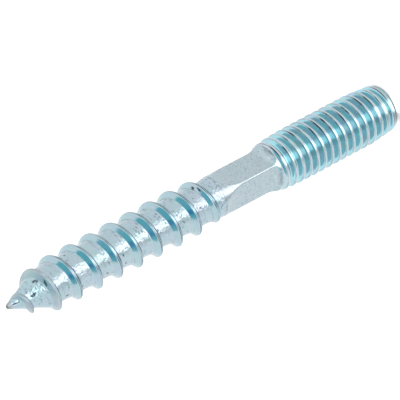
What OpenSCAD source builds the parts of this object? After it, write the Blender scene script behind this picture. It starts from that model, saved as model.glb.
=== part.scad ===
// Hanger bolt in plated steel: a wood thread with a gimlet point at one end, a machine
// thread at the other, and a plain shank between them with a square pressed into it.
// It stands on its machine end: the axis is Z, the end face lies at Z = 0 and the point is up.
// Sizes are in millimetres and angles in degrees.

/* [Machine thread] */
// Major diameter, over the crests
machine_d = 5.98; // [5.5:0.02:6.5]
// Pitch of the machine thread
machine_pitch = 1; // [0.8:0.05:1.25]
// Length of the threaded end, from the end face to the flare
machine_length = 16.2; // [8:0.1:40]
// Diameter of the flat end face
end_d = 4.7; // [4:0.1:5]
// Length of the 45 degree bevel round the end face
bevel_length = 0.35; // [0.2:0.05:0.5]
// Length over which the first crests rise from the bevel to the major diameter
lead_length = 3.4; // [1:0.1:5]
// Length over which the thread fades out beside the flare
machine_fade = 4; // [1:0.25:6]
// Angle at which the machine thread starts
machine_start = 200; // [0:1:359]

/* [Shank] */
// Diameter of the plain shank
shank_d = 4.62; // [4.5:0.02:5]
// Length of the plain shank, from the flare to the wood thread
shank_length = 5.8; // [5.8:0.1:20]
// Length of the flare between the shank and the machine thread
flare_length = 1.5; // [1.3:0.1:3]
// Diameter of the flare at the machine thread
flare_d = 5.3; // [5.2:0.05:5.6]

/* [Square grip] */
// Width across the pressed flats
square_w = 3.45; // [3.4:0.05:4]
// Length of each flat at its full depth
square_length = 3.4; // [1.5:0.1:3.4]
// Length by which each flat reaches into the flare
square_reach = 0.6; // [0.4:0.1:0.6]
// Radius that carries a flat out to the flare
flare_runout = 0.95; // [0.9:0.05:1.5]
// Radius that carries a flat out to the round shank
shank_runout = 8; // [4:0.5:8]

/* [Wood thread] */
// Diameter over the crests of the wood thread, beside the shank
wood_d = 5.7; // [5.3:0.05:6.2]
// Diameter over the crests of the wood thread, beside the point
wood_point_d = 5.5; // [5.2:0.05:6.2]
// Core diameter of the wood thread
core_d = 4.24; // [3.8:0.02:4.5]
// Pitch of the wood thread
wood_pitch = 2.6; // [2:0.05:3.2]
// Length from the point to the end of the wood thread
wood_length = 27; // [15:0.1:60]
// Width of a crest
crest_w = 0.1; // [0.06:0.02:0.4]
// Axial width of the flank that faces the point
point_flank_w = 0.7; // [0.4:0.02:0.8]
// Axial width of the flank that faces the shank
shank_flank_w = 0.5; // [0.3:0.02:0.7]
// Length over which the thread fades out beside the shank
wood_fade = 4; // [1:0.1:6]
// Angle at which the wood thread starts
wood_start = 250; // [0:1:359]

/* [Gimlet point] */
// Length of the cone that the core tapers to
point_length = 4.6; // [3.5:0.1:8]
// Diameter of the blunted tip
tip_d = 0.4; // [0.2:0.05:0.8]
// Length over which the wood thread grows to its full height
point_lead = 3; // [1:0.1:8]
// Width of the wood thread where it starts, as a share of its full width
start_share = 0.6; // [0.5:0.05:1]

/* [Hidden] */
$fn = 96;
zinc = [0.73, 0.81, 0.84];
// Steps of a thread's helix in one turn, and of a rounded flank from root to crest
turn_steps = 34;
flank_steps = 3;

flare_z = machine_length;
shank_z = flare_z + flare_length;
wood_z = shank_z + shank_length;
square_z = shank_z - square_reach;
overall_length = wood_z + wood_length;

// A metric thread's depth, crest and flanks follow from its pitch
machine_depth = 17 / 48 * sqrt(3) * machine_pitch;
machine_crest_w = machine_pitch / 8;
machine_flank_w = machine_pitch * 5 / 16;
machine_section = [
    [0, 0],
    [machine_flank_w, 1],
    [machine_flank_w + machine_crest_w, 1],
    [2 * machine_flank_w + machine_crest_w, 0],
];

// The flanks of the wood thread round over into its crests and its core
wood_section = [
    for (k = [0 : flank_steps])
        [point_flank_w * k / flank_steps, ease(k / flank_steps)],
    for (k = [0 : flank_steps])
        [point_flank_w + crest_w + shank_flank_w * k / flank_steps, ease(1 - k / flank_steps)],
];

// The threads are rolled a hair below the round blank, and a plug on the end of each solid
// reaches into the blank, inside the flats
roll_step = 0.02;
root_reach = 0.2;
plug_r = square_w / 2 - root_reach;
// Room between the ends of a thread and the plain rings that close its solid
end_gap = 0.1;
ring_gap = 0.01;

machine_blank_r = flare_d / 2 - roll_step;
wood_blank_r = shank_d / 2 - roll_step;

// Concave arc that is tangent to the shank and ends on the flare's rim
flare_rise = (flare_d - shank_d) / 2;
flare_r = (flare_length * flare_length + flare_rise * flare_rise) / (2 * flare_rise);
// Room by which a cutting shape clears what it cuts
clear = 1;

// Share of the way from a to b that x has come, between 0 and 1
function share(x, a, b) = min(1, max(0, (x - a) / (b - a)));

// Smooth rise from 0 to 1
function ease(u) = (1 - cos(180 * u)) / 2;

function mix(a, b, u) = a + (b - a) * u;

// Height of a thread at a length from its end, which rises steeply at first
function run_out(x, length) = sqrt(sqrt(share(x, 0, length)));

// Point at a given radius, angle and height
function polar(r, a, z) = [r * cos(a), r * sin(a), z];

// Radius of the machine thread at height z. The rise is 0 on a root and 1 on a crest, and
// left is the length of thread that is still to come.
function machine_radius(z, rise, left) =
    let (
        formed = run_out(left, machine_fade),
        root = mix(machine_blank_r, machine_d / 2 - machine_depth, formed),
        crest = mix(machine_blank_r, machine_d / 2, formed),
        bevel = end_d / 2 + z,
        lead = mix(end_d / 2 + bevel_length, machine_d / 2, share(z, bevel_length, lead_length))
    )
    min(bevel, lead, mix(root, crest, rise));

// Radius of the wood thread at a depth z below the tip, where along is the length of thread
// since its start
function wood_radius(z, rise, along, left) =
    let (
        cone = mix(tip_d / 2, core_d / 2, share(z, 0, point_length)),
        core = mix(cone, wood_blank_r, ease(share(z, wood_length - wood_pitch / 2, wood_length))),
        crest_d = mix(wood_point_d, wood_d, share(z, point_length, wood_length - wood_fade)),
        grown = min(run_out(along, point_lead), run_out(left, wood_fade))
    )
    core + rise * grown * (crest_d - core_d) / 2;

// Width of the wood thread at a length along it, as a share of its full width
function wood_spread(along) = mix(start_share, 1, share(along, 0, point_length));

// Closed solid with a right-hand thread wound round it. A ring of radius low_r closes it at
// the height low, and a ring of radius high_r at the height high, with a plug that reaches
// a little further. The thread is a strip: its section, a list of [axial offset, rise]
// pairs, repeats at every step of the helix, and the far edge of each turn is the near edge
// of the next, or of the high ring. The function radius(z, rise, along, left) gives each
// point its radius, and spread(along) widens or narrows the section.
module threaded(section, pitch, low, high, start, low_r, high_r, radius, spread) {
    edges = len(section);
    first = low + end_gap;
    final = high - end_gap;
    strip = floor((final - end_gap - first - section[edges - 1][0]) / pitch * turn_steps);
    last = turn_steps - 1;
    edge_points = strip + turn_steps + 1;
    low_ring = edge_points + (edges - 1) * (strip + 1);
    high_ring = low_ring + turn_steps;
    plug_ring = high_ring + turn_steps;

    function angle(i) = start + 360 * i / turn_steps;
    function strip_point(i, j) =
        let (
            along = pitch * i / turn_steps,
            left = pitch * strip / turn_steps - along,
            z = min(final, first + along + section[j][0] * spread(along))
        )
        polar(radius(z, section[j][1], along, left), angle(i), z);
    function ring_points(r, z) = [for (i = [0 : last]) polar(r, angle(i), z)];
    function at(i, j) =
        j == edges ? i + turn_steps
        : j == 0 ? i
        : edge_points + (j - 1) * (strip + 1) + i;
    function ring(base, i) = base + i % turn_steps;
    function quad(a, b, c, d) = [[a, b, c], [a, c, d]];

    points = [
        for (i = [0 : edge_points - 1]) strip_point(i, 0),
        for (j = [1 : edges - 1], i = [0 : strip]) strip_point(i, j),
        each ring_points(low_r, low),
        each ring_points(high_r, high - ring_gap),
        each ring_points(plug_r, high + root_reach),
    ];
    thread = [
        for (i = [0 : strip - 1], j = [0 : edges - 1])
            each quad(at(i, j), at(i, j + 1), at(i + 1, j + 1), at(i + 1, j)),
    ];
    low_band = [
        for (i = [0 : last - 1])
            each quad(ring(low_ring, i), at(i, 0), at(i + 1, 0), ring(low_ring, i + 1)),
        [ring(low_ring, last), at(last, 0), at(turn_steps, 0)],
        for (j = [edges : -1 : 1]) [ring(low_ring, last), at(0, j), at(0, j - 1)],
        [ring(low_ring, last), at(0, 0), ring(low_ring, 0)],
    ];
    high_band = [
        [ring(high_ring, strip + 1), at(strip + 1, 0), at(strip, 0)],
        for (j = [0 : edges - 1]) [ring(high_ring, strip + 1), at(strip, j), at(strip, j + 1)],
        [ring(high_ring, strip + 1), at(strip, edges), ring(high_ring, strip)],
        for (i = [strip + 1 : strip + last])
            each quad(at(i, 0), ring(high_ring, i), ring(high_ring, i + 1), at(i + 1, 0)),
    ];
    plug_band = [
        for (i = [0 : last])
            each quad(
                ring(high_ring, i), ring(plug_ring, i),
                ring(plug_ring, i + 1), ring(high_ring, i + 1)
            ),
    ];
    caps = [
        [for (i = [0 : last]) ring(low_ring, i)],
        [for (i = [last : -1 : 0]) ring(plug_ring, i)],
    ];
    polyhedron(points, concat(thread, low_band, high_band, plug_band, caps));
}

// Machine thread, cropped flat at its bevelled end
module machine_end() {
    below = machine_pitch + 2 * end_gap;
    difference() {
        threaded(
            machine_section, machine_pitch, -below, machine_length, machine_start,
            end_d / 2 - below, machine_blank_r,
            function(z, rise, along, left) machine_radius(z, rise, left),
            function(along) 1
        );
        translate([0, 0, -below - clear])
            cylinder(d = machine_d + clear, h = below + clear);
    }
}

// Gimlet point with the wood thread, measured down from the tip
module wood_end() {
    translate([0, 0, overall_length])
        rotate([180, 0, 0])
            threaded(
                wood_section, wood_pitch, 0, wood_length, wood_start,
                tip_d / 2, wood_blank_r,
                function(z, rise, along, left) wood_radius(z, rise, along, left),
                function(along) wood_spread(along)
            );
}

// Round blank between the two threads: the shank and its concave flare
module blank() {
    rotate_extrude()
        difference() {
            polygon([
                [0, flare_z],
                [flare_d / 2, flare_z],
                [flare_d / 2, shank_z],
                [shank_d / 2, shank_z],
                [shank_d / 2, wood_z],
                [0, wood_z],
            ]);
            translate([shank_d / 2 + flare_r, shank_z])
                circle(flare_r);
        }
}

// Die that presses one flat, on the +X side, with a curved run-out at each end
module die() {
    width = flare_d + 2 * clear;
    translate([square_w / 2, -width / 2, square_z])
        cube([flare_d, width, square_length]);
    translate([square_w / 2 + flare_runout, 0, square_z])
        rotate([90, 0, 0])
            cylinder(r = flare_runout, h = width, center = true);
    translate([square_w / 2 + shank_runout, 0, square_z + square_length])
        rotate([90, 0, 0])
            cylinder(r = shank_runout, h = width, center = true);
}

// Shank with a square grip pressed into it
module grip() {
    difference() {
        blank();
        for (side = [0 : 3])
            rotate([0, 0, 90 * side])
                die();
    }
}

module hanger_bolt() {
    color(zinc) {
        machine_end();
        grip();
        wood_end();
    }
}

hanger_bolt();
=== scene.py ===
"""Studio scene of a plated hanger bolt that stands on its machine end.

The bolt is one closed mesh. Its surface is a radius over the angle about the axis and the
height above the floor, sampled on rows that follow the two helical threads.
"""
import math

import bpy
import numpy as np
from mathutils import Matrix, Vector


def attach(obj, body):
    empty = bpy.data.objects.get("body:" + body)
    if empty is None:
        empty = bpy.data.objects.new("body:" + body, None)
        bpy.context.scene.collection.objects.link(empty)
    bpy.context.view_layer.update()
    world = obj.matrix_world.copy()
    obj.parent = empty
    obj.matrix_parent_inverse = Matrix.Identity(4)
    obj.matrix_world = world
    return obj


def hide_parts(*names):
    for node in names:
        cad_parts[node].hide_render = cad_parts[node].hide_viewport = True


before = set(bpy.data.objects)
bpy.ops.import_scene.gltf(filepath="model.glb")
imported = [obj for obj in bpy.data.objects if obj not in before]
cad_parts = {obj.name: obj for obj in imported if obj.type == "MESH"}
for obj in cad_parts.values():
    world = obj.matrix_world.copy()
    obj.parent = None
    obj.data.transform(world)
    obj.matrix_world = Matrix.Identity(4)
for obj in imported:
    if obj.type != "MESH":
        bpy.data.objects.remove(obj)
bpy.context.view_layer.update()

# Sizes of the bolt are in millimetres and degrees, and its heights count from the machine end
MM = 0.001

# Machine thread
MACHINE_D = 5.98
MACHINE_PITCH = 1.0
MACHINE_LENGTH = 16.2
MACHINE_DEPTH = 17 / 48 * math.sqrt(3) * MACHINE_PITCH
END_D = 4.7
BEVEL_LENGTH = 0.35
LEAD_LENGTH = 3.4
# Angle at which its helix starts, and the height of the crest there
MACHINE_START = 200.0
MACHINE_FIRST = -0.725
# Rise of the whole helix, and the last part of it, in which the thread runs out
MACHINE_RUN = 16.85
MACHINE_FADE = 4.0
MACHINE_TURNS = np.arange(-1, 20)
# Outline of the crests beside the flare
OUTLINE_Z = (12.0, 13.6, 14.8, 15.3, 15.8, 16.2)
OUTLINE_R = (3.0, 2.95, 2.89, 2.84, 2.76, 2.65)

# Shank, flare, and the square that is pressed into them
SHANK_D = 4.62
SHANK_LENGTH = 5.8
FLARE_D = 5.3
FLARE_LENGTH = 1.5
SQUARE_W = 3.45
SQUARE_LENGTH = 3.4
# How far the square reaches into the flare, and the radii in which its flats run out
SQUARE_REACH = 0.6
FLARE_RUNOUT = 0.95
SHANK_RUNOUT = 8.0
# Step from the blank down to where a thread ends
ROLL_STEP = 0.02
# The collar beside the machine thread, measured down from the flare's rim
COLLAR_LOW = 0.1
COLLAR_TOP = 0.02

# Wood thread and point, measured down from the tip
WOOD_D = 5.7
WOOD_POINT_D = 5.5
CORE_D = 4.24
WOOD_PITCH = 2.6
WOOD_LENGTH = 27.0
POINT_LENGTH = 4.6
TIP_D = 0.4
TIP_ROUND = 0.16
# Angle and depth at which its helix starts, and the crest's place in the section
WOOD_START = 250.0
WOOD_FIRST = 0.1
WOOD_CREST_AT = 0.75
# Length along the helix, the last part of it, in which the thread runs out, and its turns
WOOD_RUN = 25.39
WOOD_FADE = 4.0
WOOD_TURNS = np.arange(13, -1, -1)
# Where the tooth starts and how soon it is full, and the width of its section at the tip
POINT_START = 0.45
POINT_LEAD = 1.9
START_SHARE = 0.6
# A thread loses its depth late and steeply where it runs out
RUN_OUT_POWER = 0.25

# Heights of the borders between the bolt's parts
FLARE_Z = MACHINE_LENGTH
COLLAR_Z = FLARE_Z - COLLAR_LOW
RIM_Z = FLARE_Z - COLLAR_TOP
SHANK_Z = FLARE_Z + FLARE_LENGTH
SQUARE_Z = SHANK_Z - SQUARE_REACH
WOOD_Z = SHANK_Z + SHANK_LENGTH
LENGTH = WOOD_Z + WOOD_LENGTH
POINT_Z = LENGTH - WOOD_FIRST

# Columns round the bolt, and the rings where no thread runs: close ones up to FINE_Z
COLUMNS = 120
DEGREES = 360 * np.arange(COLUMNS) / COLUMNS
FINE_Z = FLARE_Z + 0.8
COLLAR_RINGS = 4
FINE_RINGS = 24
SHANK_RINGS = 58
TIP_RINGS = 9
TIP_SPACING = 0.7
TIP_HEIGHTS = LENGTH - WOOD_FIRST * (1 - np.linspace(0, 1, TIP_RINGS)[:-1] ** TIP_SPACING)
END_RINGS = (0.97, 0.8, 0.55, 0.28)
# Points of a column that fall on the same step are one vertex
STEPS_PER_MM = 1e5
NEAR = 1e-4
HAIR = 1e-6

# Sections of one turn: offset from the crest's middle, rise from root to crest, and how
# much of a rolling seam lies there
MACHINE_SECTION = np.array([
    (-0.44, 0.0, 0), (-0.40, 0.05, 0), (-0.32, 0.32, 0), (-0.24, 0.64, 0), (-0.175, 0.89, 0),
    (-0.14, 0.97, 0), (-0.09, 1.0, 0), (0.0, 1.0, 0), (0.03, 0.99, 0), (0.05, 0.95, 1),
    (0.155, 0.865, 1), (0.175, 0.80, 0), (0.22, 0.62, 0), (0.30, 0.32, 0), (0.38, 0.05, 0),
    (0.42, 0.0, 0), (0.5, 0.0, 0),
])
# The wood thread's offsets run from the tip towards the shank. Past the tooth's end lies the
# root, which rises gently to the next turn's flank
WOOD_SECTION = np.array([
    (-0.64, 0.16, 0), (-0.62, 0.18, 0), (-0.58, 0.245, 0), (-0.50, 0.39, 0), (-0.42, 0.535, 0),
    (-0.33, 0.70, 0), (-0.25, 0.845, 0), (-0.19, 0.935, 0), (-0.14, 0.98, 0), (-0.115, 0.955, 1),
    (-0.065, 0.96, 1), (-0.035, 0.99, 0), (0.0, 1.0, 0), (0.025, 0.985, 0), (0.045, 0.945, 1),
    (0.125, 0.90, 1), (0.14, 0.88, 0), (0.18, 0.77, 0), (0.25, 0.53, 0), (0.32, 0.31, 0),
    (0.40, 0.12, 0), (0.47, 0.03, 0), (0.54, 0.0, 0), (0.66, 0.0, 0), (0.80, 0.0, 0),
    (0.95, 0.0, 0), (1.10, 0.005, 0), (1.25, 0.02, 0), (1.40, 0.04, 0), (1.55, 0.07, 0),
    (1.70, 0.105, 0), (1.84, 0.14, 0),
])
WOOD_TOOTH_END = 0.54

# Waves of the rolled surface, which calm down near both ends and on the wood thread's crests
BROAD_HEIGHT = 0.006
BROAD_WAVES = {"seed": 3, "waves": 14, "turns": 5, "length": 2.4}
ROOT_HEIGHT = 0.007
ROOT_WAVES = {"seed": 8, "waves": 20, "turns": 11, "length": 0.9}
CREST_CALM = 0.7
FOOT_CALM = (0.3, 1.5)
TIP_CALM = (0.4, 2)

# Dents in the plating: degrees, height, half width round the bolt and along it, and depth
DENTS = [
    (354, 47.05, 0.14, 0.26, 0.05), (346, 46.9, 0.10, 0.14, 0.03), (308, 47.85, 0.18, 0.30, 0.05),
    (314, 47.6, 0.22, 0.12, 0.03), (309, 49.75, 0.09, 0.55, 0.04), (326, 46.45, 0.50, 0.07, 0.03),
    (20, 42.5, 0.20, 0.10, 0.04), (259, 44.4, 0.12, 0.25, 0.04), (262, 36.8, 0.16, 0.10, 0.04),
    (254, 28.6, 0.14, 0.10, 0.04), (307, 26.6, 0.14, 0.10, 0.05), (254, 26.0, 0.12, 0.12, 0.04),
    (263, 39.3, 0.16, 0.10, 0.04), (292, 37.0, 0.22, 0.06, 0.03), (342, 26.8, 0.10, 0.08, 0.04),
    # The dents at 26.0 and 25.75 mm, where the wood thread ends at the shank, are shallow hollows
    # whose dark is painted shade of the gap there
    (296, 29.1, 0.10, 0.10, 0.03), (280, 29.2, 0.08, 0.12, 0.04), (9, 26.0, 0.30, 0.12, 0.05),
    (352, 25.75, 0.40, 0.09, 0.04), (150, 41.5, 0.18, 0.10, 0.04), (95, 33.0, 0.12, 0.12, 0.04),
    (190, 30.4, 0.16, 0.10, 0.04), (120, 46.9, 0.14, 0.16, 0.04), (60, 28.2, 0.12, 0.10, 0.03),
    (215, 47.4, 0.16, 0.12, 0.04),
]

# Where the material changes, as pairs of where a change starts and is full
WALL_DEPTH = (0.03, 0.2)
WALL_FADE_Z = (FLARE_Z + 0.5, FLARE_Z + 0.2)
# Where the painted teal-blue on the wood thread's shank-facing flank starts and is full: a painted
# reflection colour
PAINTED_REFLECTION_START = (0.1, 0.2)
PAINTED_REFLECTION_RISE = (0, 0.1)
STAIN_Z = (LENGTH - 0.7, LENGTH - 0.1)
POINT_WEAR_Z = (LENGTH - 6.2, LENGTH - 4.2)
# Painted shadow line along the wall's rim, darkest at two opposite flats: its angle, its spread by
# cosine, and what the other flats have
RIM_SHADOW_AT = 3.0
RIM_SHADOW_SPREAD = (0.6, 0.8)
RIM_SHADOW_LEAST = 0.2


def share(x, a, b):
    """How far x has come from a to b, from 0 to 1."""
    return np.clip((x - a) / (b - a), 0, 1)


def ease(u):
    return (1 - np.cos(np.pi * u)) / 2


def mix(a, b, u):
    return a + (b - a) * u


def run_out(x, length):
    return share(x, 0, length) ** RUN_OUT_POWER


def ripple(angle, z, seed, waves, turns, length):
    """Sum of soft waves over the surface, about -1 to 1."""
    rng = np.random.default_rng(seed)
    total = np.zeros_like(z)
    for _ in range(waves):
        around = rng.integers(-turns, turns + 1)
        along = rng.uniform(-1, 1) * 2 * np.pi / length
        total += np.sin(around * angle + along * z + rng.uniform(0, 2 * np.pi))
    return total / math.sqrt(waves)


def machine_radius(z, rise, along):
    formed = run_out(MACHINE_RUN - along, MACHINE_FADE)
    blank = FLARE_D / 2 - ROLL_STEP
    root = mix(blank, MACHINE_D / 2 - MACHINE_DEPTH, formed)
    crest = mix(blank, MACHINE_D / 2, formed)
    bevel = END_D / 2 + z
    lead = mix(END_D / 2 + BEVEL_LENGTH, MACHINE_D / 2, share(z, BEVEL_LENGTH, LEAD_LENGTH))
    crest = np.minimum(crest, np.interp(z, OUTLINE_Z, OUTLINE_R))
    return np.minimum(np.minimum(bevel, lead), mix(root, crest, rise))


def grip_radius(degrees, z):
    """Collar, flare and shank with the square pressed into them."""
    rise = (FLARE_D - SHANK_D) / 2
    arc = (FLARE_LENGTH ** 2 + rise ** 2) / (2 * rise)
    below = np.clip(SHANK_Z - z, 0, FLARE_LENGTH)
    blank = SHANK_D / 2 + arc - np.sqrt(arc ** 2 - below ** 2)
    low = np.clip(SQUARE_Z - z, 0, FLARE_RUNOUT)
    high = np.clip(z - SQUARE_Z - SQUARE_LENGTH, 0, SHANK_RUNOUT)
    flat = SQUARE_W / 2 + FLARE_RUNOUT - np.sqrt(FLARE_RUNOUT ** 2 - low ** 2)
    flat = flat + SHANK_RUNOUT - np.sqrt(SHANK_RUNOUT ** 2 - high ** 2)
    from_flat = np.radians((degrees + 45) % 90 - 45)
    pressed = np.minimum(blank, flat / np.cos(from_flat))
    return np.where(z < FLARE_Z - COLLAR_TOP / 2, FLARE_D / 2 - ROLL_STEP, pressed)


def wood_radius(z, rise, along):
    depth = LENGTH - z
    started = np.sqrt(share(along, POINT_START, POINT_START + POINT_LEAD))
    grown = np.minimum(started, run_out(WOOD_RUN - along, WOOD_FADE))
    cone = mix(TIP_D / 2, CORE_D / 2, share(depth, 0, POINT_LENGTH))
    cone = cone * np.sqrt(1 - (1 - share(depth, 0, TIP_ROUND)) ** 2)
    near_shank = ease(share(depth, WOOD_LENGTH - WOOD_PITCH / 2, WOOD_LENGTH))
    core = mix(cone, SHANK_D / 2 - ROLL_STEP, near_shank)
    crest_d = mix(WOOD_POINT_D, WOOD_D, share(depth, POINT_LENGTH, WOOD_LENGTH - WOOD_FADE))
    return core + rise * grown * (crest_d - CORE_D) / 2


def wood_depth(along, offset):
    """Depth below the tip of a place in the wood thread's section, which is narrow at the tip."""
    spread = mix(START_SHARE, 1, share(along, 0, POINT_LENGTH))
    return WOOD_FIRST + along + (WOOD_CREST_AT + offset) * spread


def pinned(z, section, along, low, high):
    """Rows of a thread, column by column, pinned to the zone's ends."""
    inside = (z > low) & (z < high)
    values = [np.clip(z, low, high)]
    values += [np.where(inside, section[:, k], 0) for k in (1, 2)]
    values.append(np.broadcast_to(along, z.shape))
    return [v.reshape(COLUMNS, -1) for v in values], len(section)


def machine_rows(low, high):
    """Rows that follow the machine thread: after one turn a row is the next turn's row."""
    along = MACHINE_PITCH * ((DEGREES[:, None] - MACHINE_START) / 360 + MACHINE_TURNS)[:, :, None]
    z = MACHINE_FIRST + along + MACHINE_SECTION[:, 0]
    return pinned(z, MACHINE_SECTION, along, low, high)


def wood_rows(low, high):
    """Rows that follow the wood thread in the same way. A root's rows belong to the next turn."""
    here = WOOD_PITCH * (WOOD_TURNS - (DEGREES[:, None] + WOOD_START) / 360)[:, :, None]
    after = here + WOOD_PITCH
    section = WOOD_SECTION[::-1]
    offset = section[:, 0]
    begin = WOOD_SECTION[0, 0]
    in_tooth = offset <= WOOD_TOOTH_END
    in_root = (offset - WOOD_TOOTH_END) / (WOOD_PITCH + begin - WOOD_TOOTH_END)
    root = mix(wood_depth(here, WOOD_TOOTH_END), wood_depth(after, begin), in_root)
    depth = np.where(in_tooth, wood_depth(here, offset), root)
    along = np.where(in_tooth, here, after)
    return pinned(LENGTH - depth, section, along, low, high)


def ring_rows(heights):
    """Level rows, which climb by no row in a turn."""
    z = np.repeat(np.array(heights)[None, :], COLUMNS, axis=0)
    return [z] + [np.zeros_like(z)] * 3, 0


def bolt_zones():
    """Rows of each zone from the foot to the tip, and by how many rows each climbs in a turn."""
    collar = np.linspace(COLLAR_Z, RIM_Z, COLLAR_RINGS)
    fine = np.linspace(FLARE_Z, FINE_Z, FINE_RINGS)[:-1]
    shank = np.linspace(FINE_Z, WOOD_Z, SHANK_RINGS)
    return [
        machine_rows(0, COLLAR_Z),
        ring_rows(np.concatenate([collar, fine, shank])),
        wood_rows(WOOD_Z, POINT_Z),
        ring_rows(TIP_HEIGHTS),
    ]


def vertex_key(column, z):
    return column, round(z * STEPS_PER_MM)


def join_rows(zones):
    """Vertices and faces of the bolt's side. Rows that meet in a point share its vertex."""
    keys = {}
    columns = []
    rows = []
    faces = []

    def vertex(column, values):
        key = vertex_key(column, values[0])
        if key not in keys:
            keys[key] = len(columns)
            columns.append(column)
            rows.append(values)
        return keys[key]

    for arrays, per_turn in zones:
        stack = np.stack(arrays, axis=2).tolist()
        last = len(stack[0]) - 1
        ids = [[vertex(c, values) for values in stack[c]] for c in range(COLUMNS)]
        ids.append([ids[0][min(q + per_turn, last)] for q in range(last + 1)])
        for near, far in zip(ids, ids[1:]):
            for q in range(last):
                corners = (near[q], far[q], far[q + 1], near[q + 1])
                loop = list(dict.fromkeys(corners))
                if len(loop) > 2:
                    faces.append(loop)
    return keys, np.array(columns), np.array(rows), faces


def shape_surface(columns, rows):
    """Place of each vertex, and the numbers there that the material reads."""
    z, rise, seam_and_shadow, along = rows.T
    degrees = DEGREES[columns]
    angle = np.radians(degrees)
    in_machine = z < COLLAR_Z - HAIR
    in_wood = z > WOOD_Z + HAIR
    radius = np.where(in_machine, machine_radius(z, rise, along), grip_radius(degrees, z))
    radius = np.where(in_wood, wood_radius(z, rise, along), radius)

    # The flats end against the collar in a wall. Along its rim runs a painted shadow line, darkest
    # at two opposite flats, which the seam layer carries
    wall = share(FLARE_D / 2 - grip_radius(degrees, np.full_like(z, FLARE_Z)), *WALL_DEPTH)
    facing = np.abs(np.cos(angle - math.radians(RIM_SHADOW_AT)))
    rim_shadow = wall * mix(RIM_SHADOW_LEAST, 1, share(facing, *RIM_SHADOW_SPREAD))
    seam_and_shadow = np.where(np.abs(z - RIM_Z) < NEAR, rim_shadow, seam_and_shadow)
    wall = wall * share(z, *WALL_FADE_Z) * (z > RIM_Z - NEAR)

    # The side of the wood thread that faces the shank, which gets a painted teal-blue that stands
    # in for the teal reflections the next turn's flank shows
    past_crest = LENGTH - z - wood_depth(along, 0)
    painted_reflection = np.where(in_wood, share(past_crest, *PAINTED_REFLECTION_START) * share(rise, *PAINTED_REFLECTION_RISE), 0)

    # Unevenness of rolled and plated steel
    calm = share(z, *FOOT_CALM) * share(LENGTH - z, *TIP_CALM)
    radius = radius + calm * BROAD_HEIGHT * ripple(angle, z, **BROAD_WAVES)
    off_crest = np.where(in_wood, 1 - CREST_CALM * rise, 0)
    radius = radius + calm * off_crest * ROOT_HEIGHT * ripple(angle, z, **ROOT_WAVES)
    dent = np.zeros_like(z)
    for at, height, half_round, half_along, depth in DENTS:
        away = np.radians((degrees - at + 180) % 360 - 180) * radius
        hollow = np.exp(-(away / half_round) ** 2 - ((z - height) / half_along) ** 2)
        radius = radius - depth * hollow
        dent = np.maximum(dent, hollow)

    points = np.stack([radius * np.cos(angle), radius * np.sin(angle), z], axis=1)
    layers = {
        "machine": in_machine,
        "wood": in_wood,
        "rise": rise,
        "seam_and_shadow": seam_and_shadow,
        "dent": dent,
        "wall": wall,
        "painted_reflection": painted_reflection,
        "tip": share(z, *STAIN_Z),
        "point": share(z, *POINT_WEAR_Z),
    }
    return points, layers


def close_ends(points, keys, faces):
    """Add the end face at the foot and the last point of the tip."""
    foot = [keys[vertex_key(c, 0)] for c in range(COLUMNS)]
    crown = [keys[vertex_key(c, TIP_HEIGHTS[-1])] for c in range(COLUMNS)]
    rings = [foot]
    extra = []
    for scale in END_RINGS:
        base = len(points) + len(extra)
        extra += [points[v] * [scale, scale, 1] for v in foot]
        rings.append(list(range(base, base + COLUMNS)))
    middle = len(points) + len(extra)
    tip = middle + 1
    extra += [np.array([0.0, 0.0, 0.0]), np.array([0.0, 0.0, LENGTH])]
    for c in range(COLUMNS):
        d = (c + 1) % COLUMNS
        for outer, inner in zip(rings, rings[1:]):
            faces.append([outer[d], outer[c], inner[c], inner[d]])
        faces.append([rings[-1][d], rings[-1][c], middle])
        faces.append([crown[c], crown[d], tip])
    return np.concatenate([points, np.array(extra)])


def build_bolt():
    keys, columns, rows, faces = join_rows(bolt_zones())
    points, layers = shape_surface(columns, rows)
    points = close_ends(points, keys, faces)
    mesh = bpy.data.meshes.new("bolt_detail")
    mesh.from_pydata((points * MM).tolist(), [], faces)
    mesh.validate()
    for name, values in layers.items():
        # The end face and the last point of the tip have 0 in every layer
        padded = np.zeros(len(points), np.float32)
        padded[:len(values)] = values
        layer = mesh.attributes.new(name, "FLOAT", "POINT")
        layer.data.foreach_set("value", padded)
    mesh.shade_smooth()
    piece = bpy.data.objects.new("bolt_detail", mesh)
    bpy.context.scene.collection.objects.link(piece)
    return piece


# Where the photograph was taken from: the bolt's point is nearest and turned to the left
VIEW_TURN = math.radians(-42.0)
ELEVATION = math.radians(29.424)
SLOPE = math.radians(28.06)
FOCAL_PX = 3457.6
PX_PER_MM = 9.658
IMAGE_PX = 400
SENSOR_MM = 36.0
CLIP_NEAR = 0.01
CLIP_FAR = 20
# The picture's middle: how far below the tip and how far beside the axis
TARGET_DEPTH = 25.439428
TARGET_BESIDE = 0.370988

# Directions in the room: up along the bolt, towards the camera over the floor, and across
AXIS = Vector((0, 0, 1))
FRONT = Vector((math.cos(VIEW_TURN), math.sin(VIEW_TURN), 0))
SIDE = AXIS.cross(FRONT)


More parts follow.
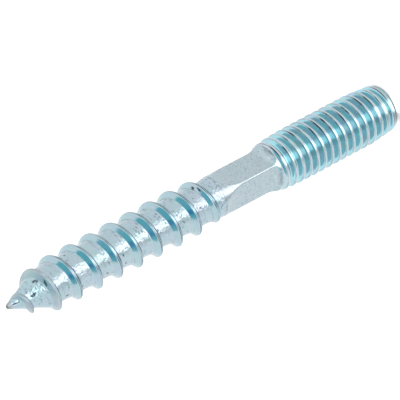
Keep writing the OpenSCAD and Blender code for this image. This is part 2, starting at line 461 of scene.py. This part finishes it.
class Nodes:
    """Short ways to add and join nodes in a tree."""

    def __init__(self, owner):
        owner.use_nodes = True
        self.tree = owner.node_tree
        self.tree.nodes.clear()

    def add(self, kind, inputs=None, **settings):
        node = self.tree.nodes.new(kind)
        for name, value in settings.items():
            setattr(node, name, value)
        for name, value in (inputs or {}).items():
            self.put(node.inputs[name], value)
        return node

    def put(self, socket, value):
        if isinstance(value, bpy.types.NodeSocket):
            self.tree.links.new(value, socket)
        else:
            socket.default_value = value

    def math(self, operation, a, b=0.0, clamp=False):
        node = self.add("ShaderNodeMath", operation=operation, use_clamp=clamp)
        self.put(node.inputs[0], a)
        self.put(node.inputs[1], b)
        return node.outputs[0]

    def plus(self, a, b):
        return self.math("ADD", a, b)

    def times(self, a, b):
        return self.math("MULTIPLY", a, b)

    def line(self, value, base, gain):
        """The base plus the value times the gain."""
        return self.plus(base, self.times(value, gain))

    def dot(self, where, direction):
        node = self.add("ShaderNodeVectorMath", operation="DOT_PRODUCT")
        self.put(node.inputs[0], where)
        self.put(node.inputs[1], tuple(direction))
        return node.outputs["Value"]

    def ramp(self, value, low, high, start=0.0, end=1.0):
        node = self.add("ShaderNodeMapRange", {
            "Value": value, "From Min": low, "From Max": high, "To Min": start, "To Max": end,
        }, interpolation_type="SMOOTHSTEP")
        return node.outputs["Result"]

    def blend(self, factor, a, b):
        node = self.add("ShaderNodeMix", data_type="RGBA", blend_type="MIX")
        self.put(node.inputs["Factor"], factor)
        self.put(node.inputs["A"], a)
        self.put(node.inputs["B"], b)
        return node.outputs["Result"]

    def noise(self, where, scale, detail, rough):
        node = self.add("ShaderNodeTexNoise", {
            "Vector": where, "Scale": scale, "Detail": detail, "Roughness": rough,
        })
        return node.outputs["Fac"]

    def pattern(self, where, grain, span):
        """A ramp over noise."""
        return self.ramp(self.noise(where, *grain), *span)

    def curve(self, half_turns, stops):
        """Straight lines between (degrees, value) stops, over an angle in half turns."""
        node = self.add("ShaderNodeFloatCurve", {"Factor": 1.0})
        curve = node.mapping.curves[0]
        node.mapping.use_clip = False
        top = max(value for _, value in stops)
        while len(curve.points) < len(stops):
            curve.points.new(0.5, 0.5)
        for point, (degrees, value) in zip(curve.points, stops):
            point.location = (degrees / 360 + 0.5, value / top)
            point.handle_type = "VECTOR"
        node.mapping.update()
        self.put(node.inputs["Value"], self.line(half_turns, 0.5, 0.5))
        return self.times(node.outputs["Value"], top)

    def layer(self, name):
        return self.add("ShaderNodeAttribute", attribute_name=name).outputs["Fac"]


# Colours of the passivated zinc on each part of the bolt, and how much of some of them shows
FLAT_COLOUR = (0.375, 0.455, 0.48, 1)
WOOD_COLOUR = (0.35, 0.455, 0.495, 1)
CREST_COLOUR = (0.48, 0.52, 0.545, 1)
# Deeper teal of the machine thread's flanks and roots: partly passivation tint, partly painted
# groove shade
GROOVE_TINT_AND_SHADE_COLOUR = (0.315, 0.56, 0.615, 1)
# Painted reflection: teal-blue on the wood thread's shank-facing flank, which the next turn's flank
# mirrors as a teal band
PAINTED_REFLECTION_COLOUR = (0.11, 0.46, 0.62, 1)
PAINTED_REFLECTION_SHARE = 0.9
WORN_COLOUR = (0.50, 0.50, 0.51, 1)
WORN_SHARE = 0.8
# Painted light: the wall where the flats end is a lighter grey that lifts the shade it sits in
WALL_PAINTED_LIGHT_COLOUR = (0.62, 0.60, 0.61, 1)
LAVENDER = (0.41, 0.44, 0.52, 1)
GREEN = (0.36, 0.50, 0.49, 1)
CLOUD_SHARE = 0.4
# Colours of the marks on it
STREAK_COLOUR = (0.17, 0.24, 0.28, 1)
SPECKLE_COLOUR = (0.17, 0.23, 0.26, 1)
PIT_COLOUR = (0.07, 0.11, 0.14, 1)
# Colour of dark dents, and of the painted shade in the gap where the wood thread ends
BLOT_AND_SHADE_COLOUR = (0.03, 0.05, 0.07, 1)
BLOT_AND_SHADE_SHARE = 0.9
# Colour of the rolling seams, and of the painted shade and shadow line that the seam layer also
# carries
SEAM_AND_SHADOW_COLOUR = (0.015, 0.03, 0.045, 1)
STAIN_COLOUR = (0.28, 0.23, 0.20, 1)
STAIN_SHARE = 0.75

# Rise in a thread's section over which its flank or root begins, and the machine thread's
# last part, in millimetres, which is rolled less
FLANK_RISE = (0.97, 0.85)
ROOT_RISE = (0.25, 0.17)
LESS_ROLLED = 1.3

# Noise of each pattern: scale per metre, detail and roughness. A span is the noise at which
# the pattern starts and is full, and then its values there if they aren't 0 and 1
CLOUD_NOISE = (900, 2.0, 0.5)
CLOUD_SPAN = (0.40, 0.62)
GREEN_NOISE = (430, 3, 0.5)
GREEN_SPAN = (0.5, 0.7)
STREAK_NOISE = (1100, 3, 0.6)
STREAK_SPAN = (0.52, 0.72)
STREAK_STRETCH = (1, 1, 3.5)
SPECKLE_NOISE = (6000, 3, 0.65)
SPECKLE_SPAN = (0.50, 0.66)
PATCH_NOISE = (520, 2, 0.5)
PATCH_SPAN = (0.50, 0.60)
TEAR_NOISE = (4200, 2, 0.6)
TEAR_BASE = 0.35
BLOT_AND_SHADE_SPAN = (0.25, 0.55)
BREAK_NOISE = (650, 2, 0.5)
BREAK_SPAN = (0.38, 0.56, 0.35, 1.0)
GLOSS_NOISE = (900, 3, 0.5)
GLOSS_SPAN = (0.3, 0.75, 0.13, 0.25)
PEEL_NOISE = (1500, 3, 0.55)
DIMPLE_NOISE = (3300, 2, 0.5)
GRAIN_NOISE = (6000, 2, 0.6)

# Strength of streaks and of speckle: everywhere, and what the roots or the flats have more
STREAK_LEVEL = (0.1, 0.35)
SPECKLE_LEVEL = (0.15, 0.4)
# Pits: cells per metre, distance from a cell's middle, and their strength on roots and flats
PIT_SCALE = 1700
PIT_SPAN = (0.36, 0.14)
PITS_IN_ROOT = 0.7
PITS_ON_FLAT = 0.1

# Strength of the rolling seam: where it is closed, and what the wood thread has more. Towards one
# side, in millimetres from the axis, painted shade darkens it, and it fades at that edge and at the
# point
SEAM_CLOSED = (0.3, 0.6)
SEAM_SHADE_SIDE = (-0.8, 1.2)
SEAM_EDGE = (2.0, 2.7, 1.0, 0.35)
SEAM_POINT = (0.0, 1.0, 1.0, 0.4)

# Relief in millimetres. The roots have more of it
PEEL_RELIEF = (0.012, 0.045)
GRAIN_RELIEF = 0.003
DIMPLE_RELIEF = 0.08
PIT_RELIEF = 0.03
BUMP_STRENGTH = 0.9
# Roughness that pits, worn places and the wall add
PIT_ROUGHNESS = 0.2
WORN_ROUGHNESS = 0.4


def plated_steel():
    material = bpy.data.materials.new("zinc_plated_steel")
    n = Nodes(material)
    where = n.add("ShaderNodeTexCoord").outputs["Object"]
    height = n.add("ShaderNodeSeparateXYZ", {"Vector": where}).outputs["Z"]
    machine = n.layer("machine")
    wood = n.layer("wood")
    rise = n.layer("rise")
    wall = n.layer("wall")
    point = n.layer("point")
    rolled = n.times(machine, n.ramp(height, FLARE_Z * MM, (FLARE_Z - LESS_ROLLED) * MM))
    groove_tint_and_shade = n.times(rolled, n.ramp(rise, *FLANK_RISE))
    root = n.times(wood, n.ramp(rise, *ROOT_RISE))
    flat = n.math("SUBTRACT", 1.0, n.plus(machine, wood), clamp=True)
    worn = n.times(n.math("SUBTRACT", wood, root), point)

    # Passivated zinc: grey on the flats, bluer on the threads, with lavender and green clouds. The
    # machine thread's flanks and roots are a deeper teal: partly a deeper passivation tint, partly
    # painted shade in the grooves
    shade = n.blend(wood, FLAT_COLOUR, WOOD_COLOUR)
    shade = n.blend(machine, shade, CREST_COLOUR)
    shade = n.blend(groove_tint_and_shade, shade, GROOVE_TINT_AND_SHADE_COLOUR)
    # Painted reflection: the wood thread's shank-facing flank is teal-blue, so that the next turn's
    # flank mirrors a teal band
    shade = n.blend(n.times(n.layer("painted_reflection"), PAINTED_REFLECTION_SHARE), shade, PAINTED_REFLECTION_COLOUR)
    shade = n.blend(n.times(worn, WORN_SHARE), shade, WORN_COLOUR)
    # Painted light: the wall is lighter than the zinc around it
    shade = n.blend(wall, shade, WALL_PAINTED_LIGHT_COLOUR)
    clouds = n.pattern(where, CLOUD_NOISE, CLOUD_SPAN)
    shade = n.blend(n.times(clouds, CLOUD_SHARE), shade, LAVENDER)
    green = n.pattern(where, GREEN_NOISE, GREEN_SPAN)
    shade = n.blend(n.times(green, CLOUD_SHARE), shade, GREEN)

    # Streaks round the thread, fine speckle, and dark pits that gather in the wood thread's roots
    wound = n.add("ShaderNodeMapping", {"Vector": where, "Scale": STREAK_STRETCH}).outputs["Vector"]
    streak = n.pattern(wound, STREAK_NOISE, STREAK_SPAN)
    shade = n.blend(n.times(streak, n.line(root, *STREAK_LEVEL)), shade, STREAK_COLOUR)
    speckle = n.pattern(where, SPECKLE_NOISE, SPECKLE_SPAN)
    shade = n.blend(n.times(speckle, n.line(flat, *SPECKLE_LEVEL)), shade, SPECKLE_COLOUR)
    cells = n.add("ShaderNodeTexVoronoi", {"Vector": wound, "Scale": PIT_SCALE, "Randomness": 1.0})
    pitted = n.plus(n.times(root, PITS_IN_ROOT), n.times(flat, PITS_ON_FLAT))
    pitted = n.times(n.pattern(where, PATCH_NOISE, PATCH_SPAN), pitted)
    pit = n.times(n.ramp(cells.outputs["Distance"], *PIT_SPAN), pitted)
    shade = n.blend(pit, shade, PIT_COLOUR)

    # Dents are dark, with torn edges. The two where the wood thread ends at the shank are dark as
    # painted shade of the gap there
    torn = n.plus(TEAR_BASE, n.noise(where, *TEAR_NOISE))
    blot_and_shade = n.ramp(n.times(n.layer("dent"), torn), *BLOT_AND_SHADE_SPAN)
    shade = n.blend(n.times(blot_and_shade, BLOT_AND_SHADE_SHARE), shade, BLOT_AND_SHADE_COLOUR)

    # The seam that the rolling dies left, darkened by painted shade towards one side, and the
    # painted shadow line along the wall's rim; the tip is stained
    side = n.dot(where, SIDE / MM)
    seam_strength_and_shade = n.math("MAXIMUM", n.line(wood, *SEAM_CLOSED), n.ramp(side, *SEAM_SHADE_SIDE))
    seam_strength_and_shade = n.times(seam_strength_and_shade, n.ramp(side, *SEAM_EDGE))
    seam_strength_and_shade = n.times(seam_strength_and_shade, n.ramp(point, *SEAM_POINT))
    seam_strength_and_shade = n.times(seam_strength_and_shade, n.pattern(where, BREAK_NOISE, BREAK_SPAN))
    shade = n.blend(n.times(n.layer("seam_and_shadow"), seam_strength_and_shade), shade, SEAM_AND_SHADOW_COLOUR)
    shade = n.blend(n.times(n.layer("tip"), STAIN_SHARE), shade, STAIN_COLOUR)

    # Relief too fine for the mesh, and gloss
    relief = n.times(n.noise(where, *PEEL_NOISE), n.line(root, *PEEL_RELIEF))
    relief = n.plus(relief, n.times(n.noise(where, *GRAIN_NOISE), GRAIN_RELIEF))
    dimples = n.times(n.noise(where, *DIMPLE_NOISE), n.times(root, DIMPLE_RELIEF))
    relief = n.plus(relief, dimples)
    relief = n.math("SUBTRACT", relief, n.times(pit, PIT_RELIEF))
    bump = n.add("ShaderNodeBump", {"Strength": BUMP_STRENGTH, "Distance": MM, "Height": relief})
    rough = n.pattern(where, GLOSS_NOISE, GLOSS_SPAN)
    rough = n.plus(rough, n.times(pit, PIT_ROUGHNESS))
    rough = n.plus(rough, n.times(n.math("MAXIMUM", worn, wall), WORN_ROUGHNESS))

    shader = n.add("ShaderNodeBsdfPrincipled", {
        "Base Color": shade, "Metallic": 1.0, "Roughness": rough, "Normal": bump.outputs["Normal"],
    })
    n.add("ShaderNodeOutputMaterial", {"Surface": shader.outputs[0]})
    return material


def add_camera():
    along = -math.cos(ELEVATION) * AXIS + math.sin(ELEVATION) * FRONT
    look = -math.sin(ELEVATION) * AXIS - math.cos(ELEVATION) * FRONT
    right = math.cos(SLOPE) * along - math.sin(SLOPE) * SIDE
    up = math.sin(SLOPE) * along + math.cos(SLOPE) * SIDE
    back = -look
    target = (LENGTH - TARGET_DEPTH) * AXIS + SIDE * TARGET_BESIDE
    place = (target + back * (FOCAL_PX / PX_PER_MM)) * MM
    data = bpy.data.cameras.new("camera")
    data.sensor_width = SENSOR_MM
    data.lens = FOCAL_PX / IMAGE_PX * SENSOR_MM
    data.clip_start = CLIP_NEAR
    data.clip_end = CLIP_FAR
    camera = bpy.data.objects.new("camera", data)
    camera.matrix_world = Matrix((
        (right.x, up.x, back.x, place.x),
        (right.y, up.y, back.y, place.y),
        (right.z, up.z, back.z, place.z),
        (0, 0, 0, 1),
    ))
    bpy.context.scene.collection.objects.link(camera)
    bpy.context.scene.camera = camera


# Floor, in metres. Its glow, which stands for the studio's lamps and screens, goes by the angle
# from the front, has a warmer colour where it is strong, and starts beside the bolt's end face
FLOOR_HALF = 3.0
FLOOR_COLOUR = (0.74, 0.60, 0.58, 1)
FLOOR_ROUGHNESS = 0.9
GLOW_STOPS = [
    (-180, 0.52), (-110, 0.64), (-62, 0.70), (-48, 0.36), (-40, 0.18), (-30, 0.22), (-22, 1.9),
    (4, 1.9), (14, 0.6), (40, 0.52), (180, 0.52),
]
GLOW_RADIUS = (0.0024, 0.00265)
GLOW_COLOUR = (1, 1, 1, 1)
WARM_COLOUR = (1.14, 1.0, 0.97, 1)
WARM_GLOW = (0.8, 1.9)


def add_floor():
    mesh = bpy.data.meshes.new("floor")
    corners = [(-1, -1), (1, -1), (1, 1), (-1, 1)]
    mesh.from_pydata([(FLOOR_HALF * x, FLOOR_HALF * y, 0) for x, y in corners], [], [(0, 1, 2, 3)])
    floor = bpy.data.objects.new("floor", mesh)
    bpy.context.scene.collection.objects.link(floor)
    material = bpy.data.materials.new("pale_floor")
    n = Nodes(material)
    material.cycles.emission_sampling = "NONE"
    where = n.add("ShaderNodeTexCoord").outputs["Object"]
    turn = n.math("ARCTAN2", n.dot(where, SIDE), n.dot(where, FRONT))
    glow = n.curve(n.math("DIVIDE", turn, math.pi), GLOW_STOPS)
    away = n.add("ShaderNodeVectorMath", operation="LENGTH")
    n.put(away.inputs[0], where)
    glow = n.times(glow, n.ramp(away.outputs["Value"], *GLOW_RADIUS))
    colour = n.blend(n.ramp(glow, *WARM_GLOW), GLOW_COLOUR, WARM_COLOUR)
    shader = n.add("ShaderNodeBsdfPrincipled", {
        "Base Color": FLOOR_COLOUR, "Roughness": FLOOR_ROUGHNESS, "Emission Color": colour,
        "Emission Strength": glow,
    })
    n.add("ShaderNodeOutputMaterial", {"Surface": shader.outputs[0]})
    floor.data.materials.append(material)


# Sky, and its soft areas: direction, degrees from it where the area starts and is full, colour.
# They are a teal area overhead, a blue one inside it and a bright one in front
SKY_COLOUR = (1.28, 1.36, 1.38, 1)
SKY_AREAS = [
    (AXIS + FRONT * 0.15 - SIDE * 0.08, 41, 35, (0.25, 0.75, 0.86, 1)),
    (AXIS - SIDE * 0.37 + FRONT * 0.18, 12, 4, (0.07, 0.38, 0.68, 1)),
    (FRONT + AXIS * 0.2 - SIDE * 0.06, 24, 12, (3.2, 3.3, 3.35, 1)),
]


def add_world():
    world = bpy.data.worlds.new("studio")
    n = Nodes(world)
    where = n.add("ShaderNodeTexCoord").outputs["Generated"]
    sky = SKY_COLOUR
    for direction, start, full, colour in SKY_AREAS:
        cosine = n.dot(where, direction.normalized())
        area = n.ramp(cosine, math.cos(math.radians(start)), math.cos(math.radians(full)))
        sky = n.blend(area, sky, colour)
    background = n.add("ShaderNodeBackground", {"Color": sky, "Strength": 1.0})
    n.add("ShaderNodeOutputWorld", {"Surface": background.outputs[0]})
    bpy.context.scene.world = world


bolt = build_bolt()
bolt.data.materials.append(plated_steel())
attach(bolt, "root")
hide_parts("hanger_bolt")
add_floor()
add_world()
add_camera()
bpy.context.scene.view_settings.view_transform = "Standard"
